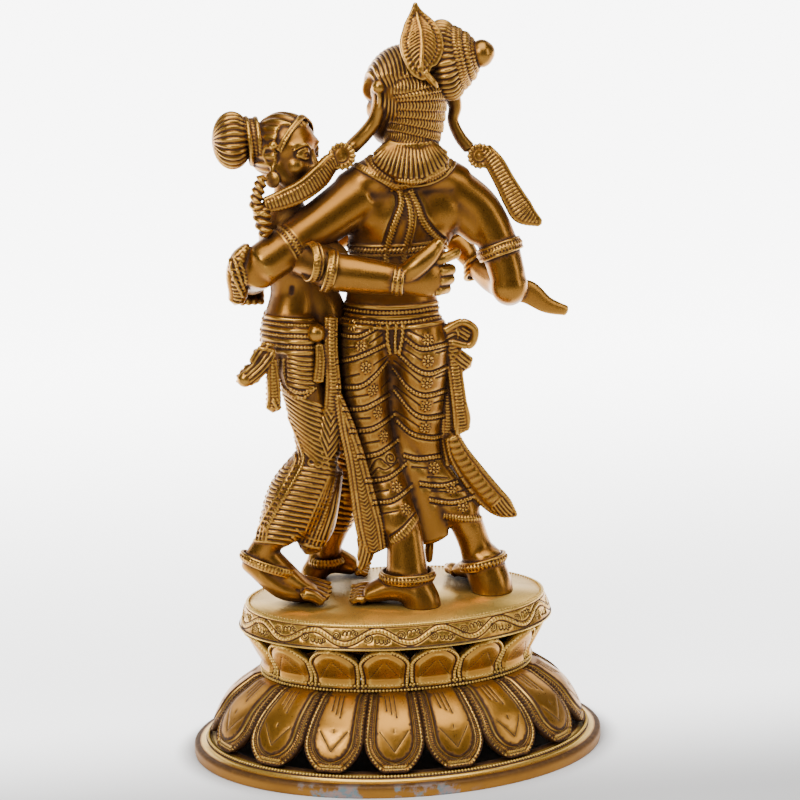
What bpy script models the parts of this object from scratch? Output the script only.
# Cast brass dancing couple on an oval double lotus pedestal.
# The pedestal is a hollow shell, the couple is one casting that stands on its top.
import math

import bmesh
import bpy
import numpy as np
from mathutils import Matrix

# Driving sizes of the pedestal, in millimetres
LENGTH = 320.0
WIDTH = 240.0
RIM = (LENGTH / 2, WIDTH / 2)
RIM_HEIGHT = 9.0
TOP_HEIGHT = 120.0
WALL = 5.0
LOWER_PETALS = 16
UPPER_PETALS = 15
# Share of a petal by which the first gap of each row is turned from +X
LOWER_PHASE = 0.16
UPPER_PHASE = 0.28
COLUMNS_PER_PETAL = 5
# Inset at which the petals are spaced evenly, and the height that parts the two rows
PETAL_INSET = 30.0
WAIST_HEIGHT = 60.0
# Inward offset from the rim, height and petal swell of each ring, from the foot up
OUTER = (
    (0.0, 0.0, 0.0),
    (0.0, RIM_HEIGHT, 0.0),
    (9.0, RIM_HEIGHT + 1.5, 0.0),
    (14.0, 15.5, 0.0),
    (18.0, 25.0, 2.6),
    (28.0, 41.0, 3.0),
    (43.0, 55.0, 2.0),
    (56.0, 63.0, 0.0),
    (54.0, 68.0, 0.0),
    (56.5, 74.0, 0.8),
    (45.0, 98.5, 1.4),
    (38.0, 101.5, 0.0),
    (44.0, TOP_HEIGHT, 0.0),
)
INNER = (
    (50.0, TOP_HEIGHT - WALL),
    (62.0, 70.0),
    (48.0, 56.0),
    (27.0, 28.0),
    (17.0, 0.0),
)
# Height of the base, height of the point and half width of the openings between petals,
# then the insets between which each one is cut
LOWER_OPENING = (16.5, 33.0, 12.0, 8.0, 36.0)
UPPER_OPENING = (100.0, 90.0, 9.5, 36.0, 66.0)

# Driving sizes of the couple, in millimetres
COUPLE_HEIGHT = 453.5
CLEARANCE = 0.3
GRAIN = 5.0
VOXEL = 2.8
KEPT_SHARE = 0.062
UNIT = 0.001
X = (1, 0, 0)
Y = (0, 1, 0)
Z = (0, 0, 1)
# The marks below are drawn at this height, on ground at this level
DRAWN_HEIGHT = 453.5
GROUND = 120.0

# Body marks of the taller figure, who faces +Y
TALL = {
    "head": (15, 2, 504),
    "neck": (14, 0, 474),
    "collar": (14, -1, 442),
    "shoulder_l": (-24, -2, 432),
    "elbow_l": (-98, -12, 383),
    "shoulder_r": (52, 2, 436),
    "elbow_r": (91, -14, 358),
    "wrist_r": (71, 38, 372),
    "palm_r": (60, 50, 388),
    "ankle_l": (6, -24, 150),
    "heel_l": (16, -32, GROUND),
    "toes_l": (-34, 17, GROUND),
    "ankle_r": (69, 2, 146),
    "heel_r": (76, -9, GROUND),
    "toes_r": (54, 46, GROUND),
}
# Body marks of the shorter figure, who faces +X
SHORT = {
    "head": (-75, 4, 466),
    "shoulder_r": (-79, -18, 399),
    "elbow_r": (-46, -42, 384),
    "wrist_r": (4, -45, 374),
    "palm_r": (21, -43, 376),
    "shoulder_l": (-63, 26, 402),
    "elbow_l": (-40, 46, 392),
    "wrist_l": (-12, 44, 403),
    "toes_r": (-57, -14, GROUND + 4),
    "hip_l": (-57, 26, 311),
    "knee_l": (-28, 42, 226),
    "ankle_l": (-47, 56, 140),
    "heel_l": (-58, 58, GROUND),
    "toes_l": (-13, 58, GROUND),
}


def unit(v):
    return v / np.maximum(np.linalg.norm(v, axis=-1, keepdims=True), 1e-9)


def grid_faces(rows, around, wrap):
    """Quads of a grid that closes around, and also end to end if wrap is set."""
    faces = []
    for i in range(rows if wrap else rows - 1):
        n = (i + 1) % rows
        for j in range(around):
            k = (j + 1) % around
            faces.append((i * around + j, i * around + k, n * around + k, n * around + j))
    return faces


class Clay:
    """Overlapping closed shapes that are fused into one body."""

    def __init__(self):
        self.points = []
        self.faces = []
        self.count = 0

    def add(self, points, faces):
        self.faces += [tuple(k + self.count for k in face) for face in faces]
        self.points.append(np.asarray(points, float))
        self.count += len(points)

    def limb(self, places, halves, side=X, closed=False):
        """A smooth skin through elliptical sections, half sizes along side and across it."""
        places = np.array(places, float)
        halves = np.array([h if isinstance(h, tuple) else (h, h) for h in halves], float)
        sides = np.array(side if isinstance(side[0], tuple) else [side] * len(places), float)
        spans = len(places) if closed else len(places) - 1
        length = np.linalg.norm(np.diff(places, axis=0), axis=1).sum()
        rings = max(2 * spans + 1, int(length / GRAIN))
        around = max(8, int(math.tau * halves.mean(1).max() / GRAIN))

        def between(values, t):
            s = (np.mod(t, 1) if closed else np.clip(t, 0, 1)) * spans
            i = np.minimum(s.astype(int), spans - 1)
            f = (s - i)[:, None]
            wrap = (lambda k: k % spans) if closed else (lambda k: np.clip(k, 0, spans))
            a, b, c, d = (values[wrap(i + k)] for k in (-1, 0, 1, 2))
            bend = 2 * a - 5 * b + 4 * c - d + f * (3 * (b - c) + d - a)
            return b + 0.5 * f * (c - a + f * bend)

        t = np.arange(rings) / rings if closed else np.linspace(0, 1, rings)
        centre = between(places, t)
        tangent = unit(between(places, t + 0.2 / spans) - between(places, t - 0.2 / spans))
        wide = between(sides, t)
        wide = unit(wide - tangent * (wide * tangent).sum(1, keepdims=True))
        deep = np.cross(tangent, wide)
        size = np.maximum(between(halves, t), 0.5)
        turn = np.arange(around) * math.tau / around
        across = wide[:, None] * size[:, None, :1] * np.cos(turn)[None, :, None]
        grid = centre[:, None] + across + deep[:, None] * size[:, None, 1:] * np.sin(turn)[None, :, None]
        if closed:
            self.add(grid.reshape(-1, 3), grid_faces(rings, around, True))
            return
        start = centre[0] - tangent[0] * min(size[0]) * 0.8
        end = centre[-1] + tangent[-1] * min(size[-1]) * 0.8
        first = rings * around
        faces = grid_faces(rings, around, False)
        for j in range(around):
            k = (j + 1) % around
            faces.append((k, j, first))
            faces.append((first - around + j, first - around + k, first + 1))
        self.add(np.concatenate([grid.reshape(-1, 3), [start, end]]), faces)

    def ball(self, centre, halves, forward=Y):
        """An ellipsoid with its half sizes to the side, forward and up."""
        halves = halves if isinstance(halves, tuple) else (halves,) * 3
        heading = math.atan2(-forward[0], forward[1])
        shape = bmesh.new()
        steps = int(min(28, max(8, max(halves) * 5 / GRAIN)))
        bmesh.ops.create_uvsphere(shape, u_segments=steps, v_segments=steps // 2 + 2, radius=1)
        turned = Matrix.Rotation(heading, 4, "Z") @ Matrix.Diagonal((*halves, 1))
        shape.transform(Matrix.Translation(centre) @ turned)
        shape.verts.index_update()
        points = [v.co[:] for v in shape.verts]
        self.add(points, [[v.index for v in f.verts] for f in shape.faces])
        shape.free()

    def hoop(self, centre, sizes, half, tilt=(0, 0)):
        """A flat band round a body, its height rising by tilt along X and Y."""
        turns = np.arange(12) * math.tau / 12
        places = []
        for turn in turns:
            x, y = sizes[0] * math.cos(turn), sizes[1] * math.sin(turn)
            places.append((centre[0] + x, centre[1] + y, centre[2] + x * tilt[0] + y * tilt[1]))
        self.limb(places, [half] * 12, side=Z, closed=True)


def new_body(name, points, faces):
    mesh = bpy.data.meshes.new(name)
    mesh.from_pydata((np.array(points) * UNIT).tolist(), [], faces)
    mesh.update()
    made = bpy.data.objects.new(name, mesh)
    bpy.context.scene.collection.objects.link(made)
    return made


def mix(a, b, share):
    return tuple(np.array(a) * (1 - share) + np.array(b) * share)


def shift(a, x=0.0, y=0.0, z=0.0):
    return (a[0] + x, a[1] + y, a[2] + z)


def arm(clay, shoulder, elbow, wrist, sizes):
    clay.limb((shoulder, mix(shoulder, elbow, 0.5), elbow), sizes[:3])
    clay.limb((elbow, mix(elbow, wrist, 0.4), wrist), sizes[2:5])


def foot(clay, ankle, heel, toes, width):
    """A foot from heel to toes with its sole on the ground."""
    along = unit(np.array(toes) - np.array(heel))
    across = tuple(np.cross(along, Z))
    instep = shift(mix(heel, toes, 0.45), z=11)
    clay.limb((ankle, shift(mix(ankle, heel, 0.55), z=0), shift(heel, z=6)), [width, width * 1.15, width * 1.2], side=across)
    clay.limb(
        (shift(heel, z=9), instep, shift(mix(heel, toes, 0.8), z=6), shift(toes, z=4)),
        [(width, 10), (width * 1.05, 10), (width * 1.3, 7), (width * 1.1, 4.5)],
        side=across,
    )
    clay.limb((ankle, instep, shift(mix(heel, toes, 0.8), z=6)), [width, width * 0.9, 5], side=across)


def ribbon(clay, places, wide, thick=3.2, side=X):
    """A hanging strip of cloth; wide lists its half width at each place."""
    clay.limb(places, [(w, thick) for w in wide], side=side)


def tall_figure(clay):
    """The taller dancer with dress, scarf and top knot."""
    m = TALL
    facing = unit(np.array((-0.5, 0.86, 0.0)))
    clay.limb(
        ((1, -4, 306), (1, -3, 320), (2, 0, 338), (3, 2, 363), (7, 3, 390), (12, 2, 418), (14, 0, 438)),
        [(39, 24), (41, 27), (37, 24), (32, 19), (35, 22), (43, 25), (36, 18)],
    )
    clay.limb((m["collar"], m["neck"]), [20, 16])
    clay.limb(((-28, -2, 437), (14, -4, 448), (54, 2, 438)), [15, 18, 16])
    clay.ball(m["head"], (31, 36, 38), facing)
    face = np.array(m["head"]) + facing * 22
    clay.ball(shift(face, x=3, z=-12), (19, 18, 26), facing)
    clay.ball(shift(face + facing * 14, z=-14), (5, 6, 9), facing)
    clay.limb(
        ((14, -8, 506), (15, -12, 482), (14, -16, 464), (15, -24, 452), (15, -26, 445)),
        [(25, 24), (25, 18), (31, 14), (26, 9), (10, 5)],
    )
    clay.limb(
        ((36, -2, 521), (50, -8, 527), (60, -13, 530), (67, -16, 532), (77, -21, 536)),
        [20, 25, 19, 11, 5.5],
        side=Z,
    )
    clay.limb(
        ((33, -19, 512), (27, -20, 528), (25, -21, 544), (23, -21, 560), (20, -21, 574)),
        [(7, 5), (16, 4), (17, 3.5), (10, 3), (1.5, 1.5)],
    )
    arm(clay, m["shoulder_l"], m["elbow_l"], (-104, 26, 368), (21, 18, 16, 14, 11))
    clay.ball((-101, 6, 358), (11, 12, 8))
    clay.limb((m["shoulder_r"], (74, 0, 416), (84, -6, 393), m["elbow_r"]), [17, 16.5, 14.5, 14])
    clay.limb((m["elbow_r"], (84, 14, 362), m["wrist_r"]), [14, 13, 9])
    clay.limb((m["wrist_r"], m["palm_r"], (52, 56, 402)), [(8, 8), (12, 6), (9, 4)])
    clay.limb((m["elbow_r"], (106, -6, 356), (121, -2, 343), (135, 2, 337)), [(11, 8), (9, 6), (7, 4), (4, 3)], side=Z)
    clay.limb(
        ((-21, -3, 336), (-22, -6, 319), (-22, -5, 301), (-22, -2, 280), (-19, 1, 256), (-12, 3, 231), (-6, 0, 212),
         (-2, -8, 194), (1, -14, 177)),
        [(18, 22), (19, 26), (18.5, 25), (18.5, 22), (17.5, 20), (16, 18), (15.5, 17.5), (15.5, 17), (15, 16)],
    )
    clay.limb(((1, -12, 195), (5, -17, 176), (6, -20, 162), (6, -23, 146)), [(13, 14), (13.5, 14), (12.5, 13.5), (13.5, 13.5)])
    clay.limb(
        ((23, -3, 334), (23, -5, 317), (23, -4, 297), (22, 0, 277), (22, 4, 261), (24, 8, 244), (26, 11, 229)),
        [(20, 22), (20.5, 26), (20, 25), (20, 22), (18.5, 20), (14.5, 17), (12, 15)],
    )
    clay.limb(
        ((26, 10, 234), (33, 10, 220), (42, 8, 202), (50, 6, 188), (55, 4, 178)),
        [(13, 15), (13.5, 15), (15.5, 14), (16.5, 14), (15.5, 14)],
    )
    clay.limb(((47, 6, 195), (57, 4, 173), (62, 3, 157), (66, 2, 144)), [(11.5, 13), (12.5, 14), (11, 12.5), (10.5, 12)])
    clay.limb(
        ((0, 0, 320), (1, 0, 289), (6, 2, 262), (13, 2, 240), (18, 0, 218), (24, -1, 190), (30, -2, 162)),
        [(10, 16), (8, 12), (8, 10), (10, 8), (11, 8), (11.5, 7), (13, 5)],
    )
    for side in "lr":
        ankle = m["ankle_" + side]
        foot(clay, ankle, m["heel_" + side], m["toes_" + side], 10.5)
        clay.hoop(shift(ankle, x=1.5, z=-8), (16, 15), (5, 3))
    clay.hoop((1, 0, 337), (38, 25), (8, 4))
    clay.hoop((3, 2, 355), (33, 21), (3, 2.5))
    clay.hoop((85, -7, 389), (17, 16), (3.5, 3), tilt=(0.45, 0))
    clay.limb(((-69, -27, 381), (-81, -26, 400), (-83, 2, 410), (-74, 12, 388)), [(4, 3)] * 4, side=(-1, 0, 0.6))
    ribbon(clay, ((42, -8, 330), (46, -8, 290), (52, -5, 262), (58, -3, 240)), (10, 9, 8, 5), 4)
    ribbon(clay, ((42, -4, 245), (56, 0, 218), (76, 2, 197), (94, 5, 178)), (8, 10, 11, 3), 4)
    ribbon(clay, ((-46, -20, 346), (-46, -23, 305), (-48, -20, 262), (-54, -17, 236)), (6, 7, 8, 9), 4)
    ribbon(clay, ((-36, -18, 330), (-32, -18, 285), (-27, -12, 241), (-18, -14, 193), (-22, -16, 154)), (8, 9, 10, 11, 3), 4)
    clay.limb(((44, -6, 330), (57, -8, 322), (52, -8, 304)), [(9, 6), (10, 7), (8, 6)])
    clay.ball((-58, -20, 333), 8)
    scarf = ((-32, 2, 461), (-46, -3, 455), (-62, -8, 441), (-82, -8, 430), (-102, -6, 416))
    ribbon(clay, scarf, (9, 11, 11, 9, 10), 5, side=(0.5, 0, 0.8))
    ribbon(clay, ((-108, -10, 402), (-114, -10, 385), (-117, -8, 362)), (7, 10, 4), 5)
    ribbon(clay, ((70, 8, 460), (85, 8, 446), (97, 2, 426), (114, -3, 404)), (7, 10, 12, 3), 5, side=(0.8, 0, -0.6))
    clay.limb(((-4, -12, 508), (-6, -12, 490), (-16, -6, 476), (-32, 4, 461)), [6, 5, 5, 8])
    clay.limb(((52, 18, 500), (55, 18, 484), (60, 16, 470), (74, 15, 457)), [6, 5, 6, 9])


def short_figure(clay):
    """The shorter dancer with bun, pleated dress and sash."""
    m = SHORT
    facing = unit(np.array((0.94, -0.34, 0.0)))
    wide = (0.45, 0.9, 0)
    clay.limb(
        ((-75, 4, 308), (-75, 4, 330), (-72, 6, 362), (-76, 6, 388), (-74, 6, 410), (-74, 6, 424)),
        [(22, 21), (23, 22), (20, 17), (25, 20), (28, 20), (18, 14)],
        side=wide,
    )
    clay.limb(((-74, 6, 420), (-72, 5, 448)), [13, 12])
    clay.ball(m["head"], (24, 23, 30), facing)
    face = np.array(m["head"]) + facing * 16
    clay.ball(shift(face, z=-8), (16, 14, 21), facing)
    clay.ball(shift(face + facing * 12, z=-8), (4, 5, 8), facing)
    clay.limb(((-88, 4, 472), (-106, 4, 476)), [17, 14], side=Z)
    clay.ball((-114, 4, 476), (14, 19, 21))
    arm(clay, m["shoulder_r"], m["elbow_r"], m["wrist_r"], (15, 13, 12.5, 11, 8.5))
    clay.limb((m["wrist_r"], m["palm_r"], (42, -37, 375)), [(9, 6), (14, 7), (13, 4)], side=Z)
    clay.limb(((14, -43, 385), (25, -42, 396), (35, -37, 399)), [5, 4.5, 3])
    arm(clay, m["shoulder_l"], m["elbow_l"], m["wrist_l"], (14, 12, 10, 9, 7))
    clay.limb((m["wrist_l"], (4, 40, 412)), [(7, 7), (12, 5)])
    clay.ball((-66, -16, 402), 14)
    clay.ball((-56, 16, 402), 14)
    clay.limb(
        ((-69, -4, 339), (-69, -4, 317), (-67, -4, 296), (-63, -5, 275), (-59, -6, 254), (-56, -7, 234)),
        [(18, 21), (18.5, 22), (18, 21), (17.5, 19), (16.5, 17), (16, 16)],
    )
    clay.limb(
        ((-57, -7, 235), (-63, -7, 221), (-72, -7, 206), (-81, -6, 191), (-91, -6, 179), (-99, -6, 170)),
        [(16, 16), (20.5, 17), (23, 18), (21.5, 17), (16, 14), (10, 11)],
    )
    clay.limb(((-92, -6, 180), (-100, -6, 166), (-107, -5, 154), (-109, -5, 148)), [(10, 11), (10, 10.5), (11.5, 10), (11, 9)])
    clay.limb(
        ((-112, -5, 154), (-100, -6, 143), (-87, -7, 132), (-75, -8, 127), (-66, -9, 126)),
        [(7, 9), (8.5, 10.5), (9, 12), (6.5, 12), (4.5, 12)],
    )
    clay.limb(((-98, -6, 158), (-87, -7, 145), (-73, -8, 134), (-63, -9, 129)), [(9, 10), (9, 11.5), (6.5, 12), (4.5, 12)])
    clay.limb(((-76, -11, GROUND + 6), m["toes_r"]), [(13, 6), (12, 4.5)], side=Y)
    clay.limb((m["hip_l"], mix(m["hip_l"], m["knee_l"], 0.5), m["knee_l"]), [21, 18, 14])
    clay.limb((m["knee_l"], (-36, 48, 190), m["ankle_l"]), [16, 18, 10])
    foot(clay, m["ankle_l"], m["heel_l"], m["toes_l"], 9)
    clay.hoop(shift(m["ankle_l"], z=-8), (12, 12), (4, 3))
    clay.hoop((-99, -6, 152), (20, 13), (4, 3), tilt=(-0.34, 0))
    clay.hoop((-72, 4, 326), (20, 25), (12, 4))
    clay.limb(((-62, 0, 320), (-50, 6, 250), (-50, 4, 223)), [(16, 14), (12, 18), (8, 12)])
    clay.limb(((-45, -3, 223), (-52, -2, 199), (-59, -1, 180), (-66, 0, 162)), [(7.5, 9), (10.5, 12), (13, 13), (10, 10)])
    clay.limb(((-62, 4, 372), (-48, 4, 345), (-46, 4, 318)), [(14, 12), (16, 14), (14, 14)])
    clay.hoop((2, -45, 374), (5, 11), (3, 2.5))
    ribbon(clay, ((-96, -16, 330), (-98, -20, 305), (-95, -20, 292), (-92, -18, 276)), (7, 6, 6, 8), 5)
    clay.limb(((-92, -16, 304), (-104, -19, 303)), [8, 9])
    clay.limb(((-92, -12, 460), (-94, -14, 446), (-92, -10, 430)), [7, 6, 7])
    clay.limb(((-88, -10, 430), (-88, -8, 408), (-82, -8, 400)), [8, 10, 12])


def couple():
    """Both dancers fused into one casting with flat soles."""
    clay = Clay()
    tall_figure(clay)
    short_figure(clay)
    points = np.concatenate(clay.points) - (0, 0, GROUND)
    body = new_body("dancing_couple", points * COUPLE_HEIGHT / DRAWN_HEIGHT, clay.faces)
    body.location.z = (TOP_HEIGHT + CLEARANCE) * UNIT
    fuse = body.modifiers.new("fuse", "REMESH")
    fuse.mode = "VOXEL"
    fuse.voxel_size = VOXEL * UNIT
    fuse.use_smooth_shade = True
    ease = body.modifiers.new("ease", "SMOOTH")
    ease.factor = 0.5
    ease.iterations = 2
    thin = body.modifiers.new("thin", "DECIMATE")
    thin.ratio = KEPT_SHARE
    mesh = bmesh.new()
    mesh.from_object(body, bpy.context.evaluated_depsgraph_get())
    every = mesh.verts[:] + mesh.edges[:] + mesh.faces[:]
    cut = bmesh.ops.bisect_plane(mesh, geom=every, plane_no=(0, 0, -1), clear_outer=True)
    rims = [e for e in cut["geom_cut"] if isinstance(e, bmesh.types.BMEdge)]
    bmesh.ops.holes_fill(mesh, edges=rims, sides=0)
    bmesh.ops.triangulate(mesh, faces=mesh.faces[:])
    keep_largest(mesh)
    body.modifiers.clear()
    mesh.to_mesh(body.data)
    mesh.free()
    return body


def keep_largest(mesh):
    """Delete every loose part but the one with most faces."""
    mesh.verts.ensure_lookup_table()
    seen = set()
    parts = []
    for start in mesh.verts:
        if start in seen:
            continue
        part = {start}
        front = [start]
        while front:
            here = front.pop()
            for edge in here.link_edges:
                other = edge.other_vert(here)
                if other not in part:
                    part.add(other)
                    front.append(other)
        seen |= part
        parts.append(part)
    parts.sort(key=len)
    small = [v for part in parts[:-1] for v in part]
    bmesh.ops.delete(mesh, geom=small, context="VERTS")


def turn_at(share):
    """Angle at a share of the way round the oval where the petals stand."""
    turns = np.linspace(0, math.tau, 1441)
    pace = np.hypot((RIM[0] - PETAL_INSET) * np.sin(turns), (RIM[1] - PETAL_INSET) * np.cos(turns))
    gone = np.concatenate([[0], np.cumsum((pace[1:] + pace[:-1]) / 2)])
    return np.interp(share % 1.0 * gone[-1], gone, turns)


def oval(turn, inset, height, swell=0.0):
    """A point of the pedestal, swelled outward along the oval's own normal."""
    along, across = RIM[0] - inset, RIM[1] - inset
    normal = unit(np.array((math.cos(turn) / along, math.sin(turn) / across)))
    return (
        along * math.cos(turn) + normal[0] * swell,
        across * math.sin(turn) + normal[1] * swell,
        height,
    )


def pedestal():
    """The hollow shell with two rows of petals, open underneath."""
    around = LOWER_PETALS * COLUMNS_PER_PETAL
    shares = (np.arange(around) / COLUMNS_PER_PETAL + LOWER_PHASE) / LOWER_PETALS
    points = []
    for inset, height, swell in OUTER:
        lower = height < WAIST_HEIGHT
        for share in shares:
            petal = share * LOWER_PETALS - LOWER_PHASE if lower else share * UPPER_PETALS - UPPER_PHASE
            bulge = swell * (1 - 2 * abs(petal % 1.0 * 2 - 1) ** 3)
            points.append(oval(turn_at(share), inset, height, bulge))
    for inset, height in INNER:
        points += [oval(turn_at(share), inset, height) for share in shares]
    rows = len(OUTER) + len(INNER)
    faces = [face for face in grid_faces(rows, around, True) if face[0] // around != len(OUTER) - 1]
    top = (len(OUTER) - 1) * around
    ceiling = len(OUTER) * around
    faces.append(tuple(top + j for j in range(around)))
    faces.append(tuple(ceiling + j for j in reversed(range(around))))
    return new_body("lotus_pedestal", points, faces)


def openings():
    """Wedges that pierce the shell between the petals of both rows."""
    points, faces = [], []
    rows = (
        (LOWER_OPENING, LOWER_PETALS, LOWER_PHASE),
        (UPPER_OPENING, UPPER_PETALS, UPPER_PHASE),
    )
    for (base, point, half, outer, inner), count, phase in rows:
        for k in range(count):
            turn = turn_at((k + phase) / count)
            start = len(points)
            for inset in (outer, inner):
                along, across = RIM[0] - inset, RIM[1] - inset
                side = unit(np.array((-along * math.sin(turn), across * math.cos(turn), 0.0)))
                for offset, height in ((-half, base), (half, base), (0.0, point)):
                    points.append(np.array(oval(turn, inset, height)) + side * offset)
            wedge = [(0, 1, 2), (5, 4, 3), (0, 3, 4, 1), (1, 4, 5, 2), (2, 5, 3, 0)]
            if point < base:
                wedge = [face[::-1] for face in wedge]
            faces += [tuple(start + k for k in face) for face in wedge]
    return new_body("openings", points, faces)


def brass(name, color, roughness):
    material = bpy.data.materials.new(name)
    material.use_nodes = True
    shader = material.node_tree.nodes["Principled BSDF"]
    shader.inputs["Base Color"].default_value = color
    shader.inputs["Metallic"].default_value = 1.0
    shader.inputs["Roughness"].default_value = roughness
    return material


def build():
    for old in list(bpy.data.objects):
        bpy.data.objects.remove(old)
    base = pedestal()
    dancers = couple()
    holes = openings()
    cutters = bpy.data.collections.new("cutters")
    bpy.context.scene.collection.children.link(cutters)
    bpy.context.scene.collection.objects.unlink(holes)
    cutters.objects.link(holes)
    holes.hide_render = True
    holes.display_type = "WIRE"
    pierce = base.modifiers.new("pierce", "BOOLEAN")
    pierce.operation = "DIFFERENCE"
    pierce.solver = "EXACT"
    pierce.object = holes
    statue = bpy.data.collections.new("religious_statue")
    bpy.context.scene.collection.children.link(statue)
    for made in (base, dancers):
        bpy.context.scene.collection.objects.unlink(made)
        statue.objects.link(made)
    base.data.materials.append(brass("pedestal_brass", (0.66, 0.46, 0.19, 1.0), 0.32))
    dancers.data.materials.append(brass("figure_brass", (0.72, 0.51, 0.22, 1.0), 0.28))


build()
